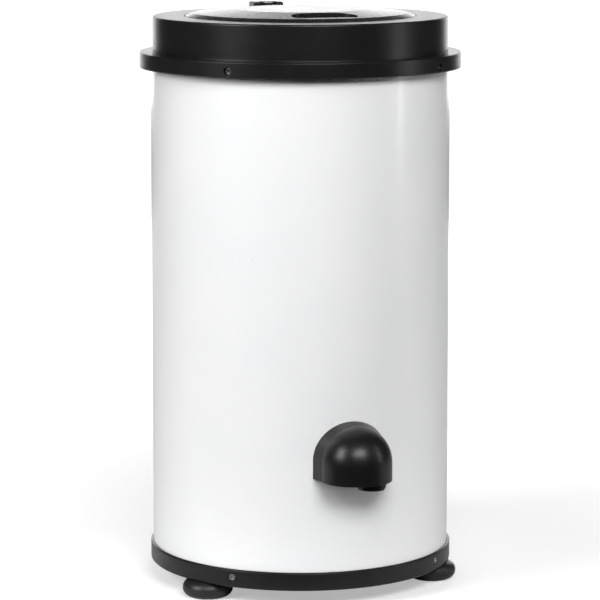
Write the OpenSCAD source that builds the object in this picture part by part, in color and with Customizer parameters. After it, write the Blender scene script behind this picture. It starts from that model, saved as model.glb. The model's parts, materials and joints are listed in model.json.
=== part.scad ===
// Portable spin dryer with a gravity drain.
// The origin is the drum's axis on the floor, Z is up and the front faces -Y.
// A direction round the axis is an angle from the front, positive towards +X.

/* [Casing] */
// Outer radius of the sheet casing
casing_r = 160; // [156:1:172]
// Thickness of the casing sheet
casing_wall = 1; // [0.8:0.1:1.4]
// Height of the rim flange's lower edge above the floor
flange_z = 552.9; // [510:0.1:620]

/* [Base] */
// Height of a foot
foot_h = 18.4; // [14:0.1:22]
// Radius of a foot at its widest
foot_r = 26.75; // [22:0.25:30]
// How far the feet's centres are set in from the casing
foot_inset = 15; // [13:0.5:22]
// Height of the base ring
base_h = 19.3; // [16:0.1:26]
// How far the base ring stands out from the casing
base_lip = 2.9; // [2.6:0.1:6]

/* [Top cover] */
// Height of the rim flange
flange_h = 16.5; // [15:0.5:22]
// How far the rim flange stands out from the casing
flange_lip = 12; // [10:0.5:16]
// Height of the upright collar above the flange
collar_h = 37.8; // [36:0.2:50]
// How far the collar is set in from the casing
collar_inset = 2.1; // [1.8:0.1:4]
// Thickness of the moulded walls
cover_wall = 3; // [2.4:0.1:3.6]
// Width of the flat rim between the collar's edge and the lid
rim_w = 35; // [33.5:0.5:37]

/* [Lid] */
// How far the lid laps over the edge of the mouth
lid_lap = 17.9; // [17:0.1:19]
// Gap between the lid and its seat
lid_gap = 1.1; // [0.8:0.1:2]
// Width of the bevel round the lid
bevel_w = 8.9; // [6:0.1:10]
// Height of the bevel above the cover
bevel_h = 3; // [2.4:0.1:4]
// Radius of the flat middle of the lid
lid_flat_r = 68; // [60:1:70]
// Height of the flat middle above the bevel
crown_h = 4; // [3:0.1:6]
// Width of the oval finger recess
grip_w = 71; // [66:1:80]
// Depth of the oval finger recess, front to back
grip_d = 40; // [38:1:42]
// Widest swing of the latch paddle in degrees
latch_swing = 12; // [8:1:13]

/* [Hinge] */
// Width of the hinge block
block_w = 34; // [30:1:44]
// Depth of the hinge block, front to back
block_d = 24; // [23:1:26]
// Height of the hinge block above the cover
block_h = 7; // [7:0.2:9]
// Radius of the hinge pin
hinge_pin_r = 1.5; // [1.2:0.1:1.6]

/* [Drum] */
// Gap between the drum and the tub
drum_gap = 13; // [10:0.5:18]
// Thickness of the drum sheet
drum_wall = 1; // [0.8:0.1:1.5]
// Radius of one drain hole in the drum
drum_hole_r = 2.5; // [1.5:0.1:3]
// Drain holes in one row round the drum
drum_columns = 16; // [10:1:20]
// Rows of drain holes up the drum
drum_rows = 9; // [5:1:10]
// Gap between the outer tub and the casing
tub_gap = 25; // [24:0.5:28]
// Thickness of the tub wall
tub_wall = 3; // [2.4:0.1:3.2]

/* [Motor] */
// Outer radius of the motor
motor_r = 62; // [56:1:64]
// Height of the motor can
motor_h = 95; // [90:1:100]
// Radius of the drive shaft
shaft_r = 8; // [7:0.5:9]
// Turns of wire in one suspension spring
spring_turns = 5; // [4:1:6]
// Swing of the brake lever in degrees
brake_swing = 5; // [3:0.5:5]

/* [Drain] */
// Angle of the drain spout from the front
spout_az = 3.5; // [-4:0.5:4]
// Radius of the hood where it meets the casing
hood_r = 40; // [39.5:0.5:44]
// Radius of the hood's round nose
hood_nose_r = 37.5; // [37:0.1:39]
// How far the middle of the nose stands off the casing
hood_reach = 13; // [11:0.5:14]
// Height of the hood's middle above the floor
outlet_z = 156.4; // [154:0.1:160]
// Distance from the hood's middle down to its lower edge
hood_skirt = 19; // [18:0.5:24]
// Inner radius of the drain nozzle
nozzle_r = 12.5; // [11:0.5:12.5]
// How far the nozzle stands below the hood
nozzle_drop = 7; // [5:0.5:10]

/* [Screws] */
// Radius of the screw heads in the flange and the base ring
screw_head_r = 3.7; // [3.2:0.1:3.8]
// Radius of their shanks
screw_r = 2; // [1.6:0.1:2]
// Angle of the front rim screws from the front, to either side
screw_az = 41.5; // [35:0.5:50]
// Angle of the front base screws from the base ring's middle
base_screw_az = 44.4; // [40:0.1:50]
// Turn of the base ring's screws round the axis, as the photograph shows them
base_turn = 2.4; // [-4:0.1:4]

/* [Hidden] */
$fn = 72;

fit = 0.2;          // clearance between fixed pieces
run = 0.05;         // radial clearance of a running fit
seat_gap = 0.3;     // clearance of soft or wound pieces at their seats
eps = 0.01;

// Heights from the floor up
base_z = foot_h;
base_floor = 3;
floor_z = base_z + base_floor;
base_top = base_z + base_h;
pan_t = 1.5;
pan_z = floor_z + pan_t;
pan_rim_h = base_h - base_floor - 1.5;
casing_z = floor_z;

// Heights from the top down
flange_top = flange_z + flange_h;
top_z = flange_top + collar_h;
plate_z = top_z - cover_wall;
seat_depth = 8;
seat_z = top_z - seat_depth;
seat_under = seat_z - cover_wall;
skirt_drop = 24.8;
skirt_z = seat_z - skirt_drop;
casing_top = flange_top - 6;

// Radii of the casing, the base ring and the cover
casing_in = casing_r - casing_wall;
base_r = casing_r + base_lip;
foot_circle_r = casing_r - foot_inset;
flange_r = casing_r + flange_lip;
collar_r = casing_r - collar_inset;
collar_in = collar_r - cover_wall;
lid_r = collar_r - rim_w;
seat_r = lid_r + lid_gap;
mouth_r = lid_r - lid_lap;
skirt_r = mouth_r + cover_wall;
pan_r = casing_in - fit;
slot_wall = 3;                       // wall of the flange outside the casing
channel_r = casing_r + fit + slot_wall;
flange_wall = 3.5;
rib_count = 24;
rib_t = 1.8;

// Screws
screw_z_rim = flange_z + 6.3;
screw_z_base = base_z + 11;
screw_sink = 1.8;                    // depth of a screw's recess
screw_clear = 0.3;
foot_screw_r = 2.5;
foot_head_r = 4.5;
foot_pocket = 9;
rim_screw_head_h = 3;
rim_seat_r = flange_r - screw_sink - rim_screw_head_h;
base_screw_head_h = 1.6;
screw_socket = 0.52;                 // socket's share of the head's radius

// Tub and drum
tub_out = casing_in - tub_gap;
tub_r = tub_out - tub_wall;
tub_z = base_top + 172.7;
tub_top = flange_top - 7;
tub_corner = 14;
tub_lug_r = casing_in - 13;
tub_lug_t = 6;
tub_post_r = 5;
tub_screw_r = 1.7;
chimney_r = 30;
chimney_h = 12;
tower_r = 17;
tower_top = tub_z + 12;
hub_z = tower_top + 1;
hub_h = 8;
hub_r = 46;
hub_skirt_h = 6;
drum_r = tub_r - drum_gap;
drum_z = hub_z + hub_h;
drum_top = tub_top - 12;
drum_corner = 16;
drum_lip_r = mouth_r - 5;
drum_lip_corner = 6;
drum_roll_r = 2;
drum_floor_z = drum_z + drum_wall;
bead_r = 3;
lug_circle_r = 36;
nut_h = 11;
nut_r = 11;
nut_flange_r = 17;
thread_r = shaft_r - 2;
shaft_top = drum_floor_z + nut_h - 2;

// Motor and its carriage
plate_h = 3;
carriage_z = base_top + 30.7;
shield_t = 6;
motor_z = carriage_z + plate_h + shield_t;
can_top = motor_z + motor_h;
can_wall = 2;
bearing_r = 13;
bearing_h = 8;
shaft_z = carriage_z - 34;
brake_z = carriage_z - 16;
brake_h = 12;
brake_r = 30;
fan_z = carriage_z - 32;
fan_h = 12;
fan_r = 48;
fan_blades = 9;
spring_circle_r = casing_in - 59;
spring_az = 60;                      // first of the three springs
foot_az = 61.5;                      // first of the three feet
spring_r = 10;
spring_wire_r = 1.4;
spring_seat_r = 14;
spring_seat_h = 6;
stator_in = 36;
stator_z = motor_z + 18;
stator_h = 55;
air_gap = 1;

// Lid, hinge and latch
bevel_z = top_z + bevel_h;
crown_z = bevel_z + crown_h;
bevel_r = lid_r - bevel_w;
lid_skirt_z = seat_z + 1.2;
hinge_y = seat_r + 10;
knuckle_r = 3;
hinge_z = top_z + knuckle_r + fit;
knuckle_w = 18;
block_y = seat_r + 2;
slot_side = 0.4;
stop_gap = 0.8;
lid_open = 95;                       // where the lid's stop meets the hinge block
stop_w = 9;
stop_rise = (knuckle_r + stop_gap) * cos(lid_open - 90)
    - (block_h - knuckle_r - fit) * sin(lid_open - 90) - run;
tail_l = 13;
tail_w = 5;
tail_t = 2;
tail_wire = 11.5;
liner_flange_t = 1;
gasket_h = 2.1;
liner_z = seat_z + 0.1 + gasket_h;
liner_r = mouth_r - 2;
liner_wall = 1.5;
plug_z = seat_z - 8.8;
lid_screw_count = 6;
lid_screw_circle = mouth_r + 9.5;
lid_screw_r = 1.2;
grip_y = mouth_r - 14;
pocket_floor = liner_z + liner_flange_t;
pocket_wall = 1.6;
well_r = mouth_r - 11;
well_floor_z = plug_z + 2;
well_floor = 2;
notch_w = 16;
notch_y0 = mouth_r - 0.4;
notch_y1 = mouth_r - 12;
pivot_y = mouth_r + 2.5;
pivot_z = pocket_floor + 3.9;
latch_pin_r = 1.2;
barrel_r = 2.2;
barrel_l = 40;
latch_pin_l = grip_w - grip_d + 2 * sqrt(pow(grip_d / 2, 2) - pow(pivot_y - grip_y, 2)) + 2.6;
paddle_t = 2.4;
paddle_z = pivot_z + 1.4;
paddle_rear = mouth_r - 15;
hook_w = 12;
hook_y0 = mouth_r - 1.6;
hook_t = 4;
nose_z = skirt_z + 10;
nose_h = 4;
nose_y = mouth_r + 2.5;
strike_w = 18;
strike_h = 7.4;

// Interlock
pin_az = 160;
pin_circle = lid_r - 1.5;
pin_r = 2;
switch_box = [26, 16, 19];
switch_y = pin_circle;

// Drain
spout_y = casing_r;
nose_cy = casing_r + hood_reach;
hood_wall = 2.5;
nozzle_x = 12;
nozzle_y = nose_cy + 15;
nozzle_wall = 2.5;
socket_l = 18;                       // depth of the nozzle's socket
nozzle_out = nozzle_r + nozzle_wall;
hood_z = outlet_z - hood_skirt;
nozzle_z = hood_z - nozzle_drop;
stub_r = 9;
stub_bore = 7;
stub_in_y = casing_in - 20;
hose_wall = 2.4;
hose_bend = 20;
sump_y = stub_in_y - 7 - hose_bend;
sump_r = 17;
sump_h = 12;
nipple_h = 18;
boss_x = 30;
boss_dz = 17;

// Brake
lever_z = brake_z + 3;
lever_t = 3;
lever_x = 48;
lever_pivot_y = -20;
lever_end_y = 46;
lever_w = 9;
pivot_r = 3;
lining_gap = 0.35;                   // what is left between lining and drum with the brake on
lining_t = 4;
lining_sweep = 30;
cable_r = 2.5;
wire_r = 0.7;
bracket_t = 2;
cable_y = hinge_y + tail_wire;
bracket_z = plate_z - 17.8;
bracket_low_x = 88;
// Route of the brake cable inside the casing, from the lever to the hinge
cable_route = [
    [-92, 46, 58.4], [-106, 49, 59.4], [-118, 57, 64.4], [-126, 68, 78.4], [-127, 74, 102.4],
    [-122, 82, 142.4], [-113, 93, 202.4], [-99, 108, 272.4], [-71, 128, 352.4], [-36, 142, 432.4],
    [-10, 147, 502.4]
];
// Route of the lead from the interlock switch down to the junction box
switch_route = [
    [34.9, 116.5, 569.6], [35.4, 118, 568.6], [38, 124, 568.8], [42, 133, 567.4], [45, 139, 558.4],
    [46, 140, 542.4], [45, 139, 472.4], [47, 139, 302.4], [50, 138, 162.4], [56, 131, 102.4],
    [59, 120, 77.4], [59, 114.2, 59.3]
];
// Route of the lead from the junction box to the motor
motor_route = [
    [51.4, 96.9, 47.4], [48.5, 91.5, 49.4], [41, 84, 59.4], [34, 76, 80.4], [28, 63.2, 100.4],
    [25.7, 58, 100.4]
];

// Electrics
box_size = [46, 26, 34];
box_az = 152;
box_circle = casing_in - 35;
capacitor_r = 19;
capacitor_h = 58;
capacitor_az = 108;
capacitor_circle = casing_in - 37;
inlet_az = 152;
inlet_z = base_top + 22;
inlet_bore = 3.6;
grommet_r = 9;
grommet_l = 12;

// ---------- helpers ----------

module polar(az, r = 0, z = 0) {
    rotate([0, 0, az])
        translate([0, -r, z])
            children();
}

// Four places in two mirrored pairs, to the left and right of the front and of the back
module at_screws(first, turn = 0) {
    for (az = [first, 180 - first, 180 + first, 360 - first])
        rotate([0, 0, az + turn])
            children();
}

module at_rim_screws() {
    at_screws(screw_az)
        children();
}

module at_base_screws() {
    at_screws(base_screw_az, base_turn)
        children();
}

module around(count, start = 0) {
    for (i = [0 : count - 1])
        rotate([0, 0, start + i * 360 / count])
            children();
}

// A ring of rectangular section
module band(r_out, r_in, h, z = 0) {
    rotate_extrude()
        translate([r_in, z])
            square([r_out - r_in, h]);
}

// A round bar towards the front, from radius y0 to radius y1
module bar_y(r, y0, y1, x = 0, z = 0) {
    translate([x, -y0, z])
        rotate([90, 0, 0])
            cylinder(r = r, h = y1 - y0);
}

module bar_x(r, l, y, z) {
    translate([-l / 2, y, z])
        rotate([0, 90, 0])
            cylinder(r = r, h = l);
}

// A box given by its middle in x, and its start and end in y and z
module slab(w, y0, y1, z0, z1, x = 0) {
    translate([x - w / 2, y0, z0])
        cube([w, y1 - y0, z1 - z0]);
}

module rounded(w, d, r) {
    square([w - 2 * r, d], center = true);
    square([w, d - 2 * r], center = true);
    for (x = [-1, 1], y = [-1, 1])
        translate([x * (w / 2 - r), y * (d / 2 - r)])
            circle(r = r);
}

// A slot with round ends, w long and d wide
module oval(w, d) {
    square([w - d, d], center = true);
    for (x = [-1, 1])
        translate([x * (w - d) / 2, 0])
            circle(d = d);
}

// Half section of a can with round corners, to be revolved
module can_section(r, z0, z1, c_low, c_high) {
    translate([0, z0])
        square([r - max(c_low, c_high), z1 - z0]);
    translate([0, z0 + c_low])
        square([r, z1 - z0 - c_low - c_high]);
    translate([r - c_low, z0 + c_low])
        circle(r = c_low);
    if (c_high > 0)
        translate([r - c_high, z1 - c_high])
            circle(r = c_high);
    if (c_high < c_low)
        translate([0, z1 - c_low])
            square([r - c_high, c_low]);
}

// A screw whose head starts at z = 0 and whose shank points up
module screw(head_r, head_h, r, l) {
    difference() {
        union() {
            cylinder(r = head_r, h = head_h);
            cylinder(r = r, h = head_h + l);
        }
        translate([0, 0, -eps])
            cylinder(r = head_r * screw_socket, h = head_h * 0.6, $fn = 6);
    }
}

module radial_screw(y, z, head_r, head_h, r, l) {
    translate([0, -y, z])
        rotate([-90, 0, 0])
            screw(head_r, head_h, r, l);
}

// ---------- swept tubes ----------

function unit(v) = v / norm(v);

function smooth(p, steps) = [
    for (i = [0 : len(p) - 2], k = [0 : steps - 1])
        let (
            a = p[max(i - 1, 0)], b = p[i], c = p[i + 1], d = p[min(i + 2, len(p) - 1)],
            t = k / steps
        )
        0.5 * (2 * b + (c - a) * t + (2 * a - 5 * b + 4 * c - d) * t * t
            + (3 * b - a - 3 * c + d) * t * t * t),
    p[len(p) - 1]
];

function headings(p) = [
    for (i = [0 : len(p) - 1])
        i == 0 ? unit(p[1] - p[0])
        : i == len(p) - 1 ? unit(p[i] - p[i - 1])
        : unit(unit(p[i + 1] - p[i]) + unit(p[i] - p[i - 1]))
];

function square_to(n, t) = unit(n - (n * t) * t);

function side_of(t) = square_to(abs(t.z) < 0.9 ? [0, 0, 1] : [1, 0, 0], t);

function carried(t) = [
    for (i = 0, n = side_of(t[0]); i < len(t); i = i + 1, n = i < len(t) ? square_to(n, t[i]) : n) n
];

// One unbroken tube of the given radius along the points
module tube(p, r, sides = 8) {
    t = headings(p);
    n = carried(t);
    last = len(p) - 1;
    points = [
        for (i = [0 : last], k = [0 : sides - 1])
            p[i] + r * (cos(360 * k / sides) * n[i] + sin(360 * k / sides) * cross(t[i], n[i])),
        p[0],
        p[last]
    ];
    walls = [
        for (i = [0 : last - 1], k = [0 : sides - 1], half = [0, 1])
            let (a = i * sides + k, b = i * sides + (k + 1) % sides)
            half == 0 ? [a, a + sides, b] : [b, a + sides, b + sides]
    ];
    foot = len(points) - 2;
    ends = [
        for (k = [0 : sides - 1], half = [0, 1])
            half == 0 ? [foot, k, (k + 1) % sides]
            : [foot + 1, last * sides + (k + 1) % sides, last * sides + k]
    ];
    polyhedron(points, concat(walls, ends));
}

// Points of a coil spring with straight ends, standing on z = 0
function coil_points(r, turns, h, end, n = 8) = [
    [r, 0, 0],
    for (i = [0 : turns * n])
        [r * cos(360 * i / n), r * sin(360 * i / n), end + (h - 2 * end) * i / (turns * n)],
    [r, 0, h]
];

// Least gap between neighbouring turns
function coil_gap(turns, h, end, wire_r) = (h - 2 * end) / turns - 2 * wire_r;

// ---------- casing and base ----------

module casing_screw_hole(z) {
    bar_y(screw_r + screw_clear, casing_in - 5, flange_r + 1, 0, z);
}

module casing() {
    seam_w = 6;
    seam_t = 0.7;
    color("white")
        difference() {
            union() {
                band(casing_r, casing_in, casing_top - casing_z, casing_z);
                rotate([0, 0, 90 - seam_w / 2])
                    rotate_extrude(angle = seam_w)
                        translate([casing_r - eps, base_top + 1])
                            square([seam_t, flange_z - base_top - 2]);
            }
            at_rim_screws()
                casing_screw_hole(screw_z_rim);
            at_base_screws()
                casing_screw_hole(screw_z_base);
            rotate([0, 0, spout_az]) {
                bar_y(stub_r + 1, casing_in - 5, casing_r + 5, nozzle_x, outlet_z);
                for (x = [-boss_x, boss_x])
                    bar_y(screw_r + screw_clear, casing_in - 15, casing_r + 5, x, outlet_z + boss_dz);
            }
            polar(inlet_az)
                bar_y(grommet_r - 2 + fit, casing_in - 5, casing_r + 5, 0, inlet_z);
        }
}

module base_ring() {
    inner = casing_r - 48;
    edge = 1.2;
    color("#161616")
        difference() {
            rotate_extrude()
                polygon([
                    [inner, base_z], [base_r - edge, base_z], [base_r, base_z + edge],
                    [base_r, base_top - edge], [base_r - edge, base_top],
                    [casing_r + fit, base_top], [casing_r + fit, floor_z], [inner, floor_z]
                ]);
            at_base_screws() {
                bar_y(screw_r + screw_clear, casing_in - 5, base_r + 1, 0, screw_z_base);
                bar_y(screw_head_r + 0.7, base_r - screw_sink, base_r + 1, 0, screw_z_base);
            }
            around(3, foot_az)
                translate([0, -foot_circle_r, base_z - 1])
                    cylinder(r = foot_screw_r + screw_clear, h = base_floor + 2);
        }
}

module base_pan() {
    vent_l = 24;
    vent_w = 5;
    color("#9a9c9e")
        difference() {
            union() {
                translate([0, 0, floor_z])
                    cylinder(r = pan_r, h = pan_t);
                band(pan_r, pan_r - pan_t, pan_rim_h, floor_z);
            }
            at_base_screws()
                bar_y(screw_r + run, pan_r - 5, pan_r + 1, 0, screw_z_base);
            around(3, foot_az)
                translate([0, -foot_circle_r, floor_z - 1])
                    cylinder(r = foot_screw_r + run, h = pan_t + 2);
            around(18)
                translate([0, -56, floor_z - 1])
                    rotate([0, 0, 90])
                        linear_extrude(pan_t + 2)
                            oval(vent_l, vent_w);
        }
}

module feet() {
    round_r = foot_h / 2;
    color("#101010")
        around(3, foot_az)
            translate([0, -foot_circle_r, 0])
                difference() {
                    rotate_extrude() {
                        square([foot_r - round_r, foot_h]);
                        translate([foot_r - round_r, round_r])
                            circle(r = round_r);
                    }
                    translate([0, 0, -eps])
                        cylinder(r = foot_head_r + 1, h = foot_pocket);
                    translate([0, 0, -1])
                        cylinder(r = foot_screw_r + screw_clear, h = foot_h + 2);
                    translate([0, 0, -eps])
                        cylinder(r = foot_r - round_r - 4, h = 1.2);
                }
}

module foot_screws() {
    head_h = 3;
    color("silver")
        around(3, foot_az)
            translate([0, -foot_circle_r, foot_pocket - head_h - eps])
                screw(foot_head_r, head_h, foot_screw_r, pan_z + 4 - foot_pocket);
}

module base_screws() {
    color("#8c8c8c")
        at_base_screws()
            radial_screw(base_r - screw_sink + base_screw_head_h, screw_z_base, screw_head_r,
                base_screw_head_h, screw_r, 8);
}

// ---------- top cover ----------

module cover_section() {
    edge = 0.9;
    collar_edge = 1.6;
    polygon([
        [flange_r - edge, flange_z], [flange_r, flange_z + edge],
        [flange_r, flange_top - edge], [flange_r - edge, flange_top],
        [collar_r, flange_top],
        [collar_r, top_z - collar_edge], [collar_r - 0.5, top_z - 0.5], [collar_r - collar_edge, top_z],
        [seat_r + 0.6, top_z], [seat_r, top_z - 0.6], [seat_r, seat_z],
        [mouth_r + 1, seat_z], [mouth_r, seat_z - 1], [mouth_r, skirt_z],
        [skirt_r, skirt_z], [skirt_r, seat_under],
        [seat_r + cover_wall, seat_under], [seat_r + cover_wall, plate_z],
        [collar_in, plate_z], [collar_in, flange_z + 2.5],
        [casing_in - fit, flange_z + 2.5], [casing_in - fit, casing_top],
        [casing_r + fit, casing_top], [casing_r + fit, flange_z],
        [channel_r, flange_z], [channel_r, flange_top - cover_wall],
        [flange_r - flange_wall, flange_top - cover_wall], [flange_r - flange_wall, flange_z]
    ]);
}

module top_cover() {
    channel_h = flange_h - cover_wall;
    rib_l = flange_r - flange_wall - channel_r;
    color("#161616")
        difference() {
            union() {
                rotate_extrude()
                    cover_section();
                around(rib_count, 360 / rib_count / 2)
                    translate([-rib_t / 2, -channel_r - rib_l - 1, flange_z + 1.5])
                        cube([rib_t, rib_l + 2, channel_h - 0.5]);
                at_rim_screws()
                    bar_y(5.4, channel_r - 1, flange_r - 1.5, 0, screw_z_rim);
                at_rim_screws()
                    translate([0, -tub_lug_r, tub_top])
                        cylinder(r = tub_post_r, h = plate_z - tub_top + 1);
            }
            at_rim_screws() {
                bar_y(screw_r + run, casing_in - 8, casing_in + 0.5, 0, screw_z_rim);
                bar_y(screw_r + screw_clear, casing_r, flange_r + 1, 0, screw_z_rim);
                bar_y(screw_head_r + 0.7, rim_seat_r, flange_r + 1, 0, screw_z_rim);
                translate([0, -tub_lug_r, tub_top - 1])
                    cylinder(r = tub_screw_r + run, h = 16);
            }
            slab(strike_w, -skirt_r - 1, -mouth_r + 1, nose_z - 3, nose_z - 3 + strike_h);
            slab(tail_w + 3, hinge_y - 4, hinge_y + tail_l + 2, plate_z - 1, top_z + 1);
            for (x = [-1, 1])
                translate([x * (block_w / 2 - 5), block_y + block_d - 5, plate_z - 1])
                    cylinder(r = 1.5 + screw_clear, h = cover_wall + 2);
            polar(pin_az, pin_circle, seat_under - 1)
                cylinder(r = pin_r + screw_clear, h = cover_wall + 2);
        }
}

module rim_screws() {
    color("#8c8c8c")
        at_rim_screws()
            radial_screw(flange_r - screw_sink, screw_z_rim, screw_head_r, rim_screw_head_h, screw_r,
                flange_lip + 2);
}

// ---------- hinge ----------

module hinge_block() {
    roof = 2;
    tunnel_w = tail_w + 3;
    gap_w = knuckle_w + 2 * slot_side;
    color("#101010")
        difference() {
            translate([0, block_y + block_d / 2, top_z])
                union() {
                    linear_extrude(block_h - 1)
                        rounded(block_w, block_d, 2.5);
                    linear_extrude(block_h)
                        rounded(block_w - 1.6, block_d - 1.6, 1.8);
                }
            slab(gap_w, block_y - 1, hinge_y + knuckle_r + stop_gap, top_z - 1, top_z + block_h + 1);
            slab(tunnel_w, hinge_y, hinge_y + tail_l + 2, top_z - 1, top_z + block_h - roof);
            bar_x(hinge_pin_r + run, block_w - 6, hinge_y, hinge_z);
            for (x = [-1, 1])
                translate([x * (block_w / 2 - 5), block_y + block_d - 5, top_z - 1])
                    cylinder(r = 1.5 + run, h = 5.2);
        }
}

module hinge_screws() {
    head_h = 2;
    color("silver")
        for (x = [-1, 1])
            translate([x * (block_w / 2 - 5), block_y + block_d - 5, plate_z - head_h])
                screw(3, head_h, 1.5, cover_wall + 4);
}

module hinge_pin() {
    color("silver")
        bar_x(hinge_pin_r, block_w - 6.4, hinge_y, hinge_z);
}

// ---------- lid ----------

// Height of the lid's top face at radius r, between its bevel and its flat middle

module lid_section() {
    t = 2.6;
    polygon([
        [0, crown_z - t], [0, crown_z], [lid_flat_r, crown_z], [bevel_r, bevel_z],
        [lid_r - 0.4, top_z + 0.1], [lid_r, top_z - 0.4], [lid_r, lid_skirt_z],
        [lid_r - 2.4, lid_skirt_z], [lid_r - 2.4, top_z - 1.6],
        [bevel_r - 1, bevel_z - t], [lid_flat_r - 0.5, crown_z - t]
    ]);
}

module grip_outline(grow = 0) {
    translate([0, -grip_y])
        oval(grip_w + 2 * grow, grip_d + 2 * grow);
}

// The deep part of the recess, inside the plug of the liner
module well_outline(grow = 0) {
    difference() {
        intersection() {
            grip_outline(grow - 1.5);
            circle(r = well_r + grow);
        }
        translate([-notch_w / 2 - 3.5 + grow, -mouth_r - 10])
            square([notch_w + 7 - 2 * grow, mouth_r + 10 - notch_y1 + 3.5 - grow]);
    }
}

module grip_wall() {
    intersection() {
        translate([0, 0, pocket_floor])
            linear_extrude(crown_z - pocket_floor)
                grip_outline(pocket_wall);
        translate([0, 0, pocket_floor - 1])
            rotate_extrude()
                translate([0, 0])
                    polygon([
                        [0, 0], [lid_r - 2.5, 0], [lid_r - 2.5, top_z - pocket_floor],
                        [bevel_r, bevel_z - pocket_floor + 0.5],
                        [lid_flat_r, crown_z - pocket_floor + 0.5], [0, crown_z - pocket_floor + 0.5]
                    ]);
    }
    translate([0, 0, well_floor_z])
        linear_extrude(pocket_floor - well_floor_z + 1)
            well_outline(well_floor);
}

module lid() {
    shallow_z = pocket_floor + 1.6;
    color("#1a1a1a")
        difference() {
            union() {
                rotate_extrude()
                    lid_section();
                grip_wall();
                around(lid_screw_count, 30)
                    translate([0, -lid_screw_circle, pocket_floor])
                        cylinder(r = 3, h = bevel_z - pocket_floor - 2);
                slab(knuckle_w, bevel_r - 3, hinge_y, hinge_z - knuckle_r + fit, hinge_z + 0.8);
                slab(stop_w, hinge_y - 9, hinge_y, hinge_z, hinge_z + stop_rise);
                bar_x(knuckle_r, knuckle_w, hinge_y, hinge_z);
                slab(tail_w, hinge_y, hinge_y + tail_l, hinge_z - tail_t, hinge_z);
            }
            translate([0, 0, shallow_z])
                linear_extrude(crown_h + bevel_h + 10)
                    grip_outline();
            translate([0, 0, well_floor_z + well_floor])
                linear_extrude(crown_h + bevel_h + 20)
                    well_outline();
            slab(notch_w, -notch_y0, -notch_y1, pocket_floor - 2, shallow_z + 1);
            bar_x(latch_pin_r + run, latch_pin_l + fit, -pivot_y, pivot_z);
            bar_x(hinge_pin_r + run, knuckle_w + 2, hinge_y, hinge_z);
            translate([0, hinge_y + tail_wire, hinge_z - tail_t - 1])
                cylinder(r = wire_r + 0.4, h = tail_t + 2);
            around(lid_screw_count, 30)
                translate([0, -lid_screw_circle, pocket_floor - 1])
                    cylinder(r = lid_screw_r + run, h = 5);
        }
}

module lid_liner() {
    color("#3a3b3d")
        difference() {
            union() {
                rotate_extrude()
                    difference() {
                        can_section(liner_r, plug_z, liner_z + liner_flange_t, 6, 0);
                        translate([0, plug_z + 2])
                            can_section(liner_r - liner_wall, 0, 30, 4.5, 0);
                    }
                band(lid_screw_circle + 4, liner_r - liner_wall, liner_flange_t, liner_z);
                intersection() {
                    slab(notch_w + 2 * liner_wall, -liner_r, -notch_y1 + liner_wall,
                        plug_z, liner_z + liner_flange_t);
                    translate([0, 0, plug_z])
                        cylinder(r = liner_r, h = 40);
                }
            }
            slab(notch_w, -notch_y0, -notch_y1, plug_z - 1, liner_z + 2);
            around(lid_screw_count, 30)
                translate([0, -lid_screw_circle, liner_z - 1])
                    cylinder(r = lid_screw_r + run, h = 3);
        }
}

module lid_gasket() {
    color("#242424")
        rotate_extrude() {
            translate([mouth_r + 1.5, liner_z - gasket_h + 0.8])
                square([4, gasket_h - 0.8]);
            translate([mouth_r + 2.5, liner_z - gasket_h])
                square([2, gasket_h]);
        }
}

module lid_screws() {
    head_h = 1.6;
    color("silver")
        around(lid_screw_count, 30)
            translate([0, -lid_screw_circle, liner_z - head_h])
                screw(2.6, head_h, lid_screw_r, liner_flange_t + 3);
}

spring_bay = 9;
spring_bay_x = 12.5;

module latch_paddle() {
    gap = 1.1;
    color("#1c1c1c")
        difference() {
            union() {
                intersection() {
                    translate([0, 0, paddle_z])
                        linear_extrude(paddle_t)
                            grip_outline(-gap);
                    slab(grip_w, -grip_y - grip_d, -paddle_rear, paddle_z, paddle_z + paddle_t);
                }
                bar_x(barrel_r, barrel_l, -pivot_y, pivot_z);
                slab(hook_w, -hook_y0, -hook_y0 + hook_t, nose_z - 1, paddle_z + 1);
                slab(hook_w, -nose_y, -hook_y0 + 1, nose_z, nose_z + nose_h);
            }
            bar_x(latch_pin_r + run, barrel_l + 4, -pivot_y, pivot_z);
            for (x = [-1, 1])
                translate([x * spring_bay_x, 0, 0])
                    bar_x(barrel_r + 0.7, spring_bay, -pivot_y, pivot_z);
        }
}

module latch_pin() {
    color("silver")
        bar_x(latch_pin_r, latch_pin_l, -pivot_y, pivot_z);
}

module latch_spring() {
    r = latch_pin_r + 0.75;
    wire = 0.35;
    turns = 5;
    h = spring_bay - 2 * seat_gap;
    echo(latch_spring_gap = coil_gap(turns, h, 2 * wire, wire));
    color("silver")
        for (x = [-1, 1])
            translate([x * spring_bay_x - h / 2, -pivot_y, pivot_z])
                rotate([0, 90, 0])
                    tube(coil_points(r, turns, h, 2 * wire), wire, 6);
}

// ---------- tub ----------

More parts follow.
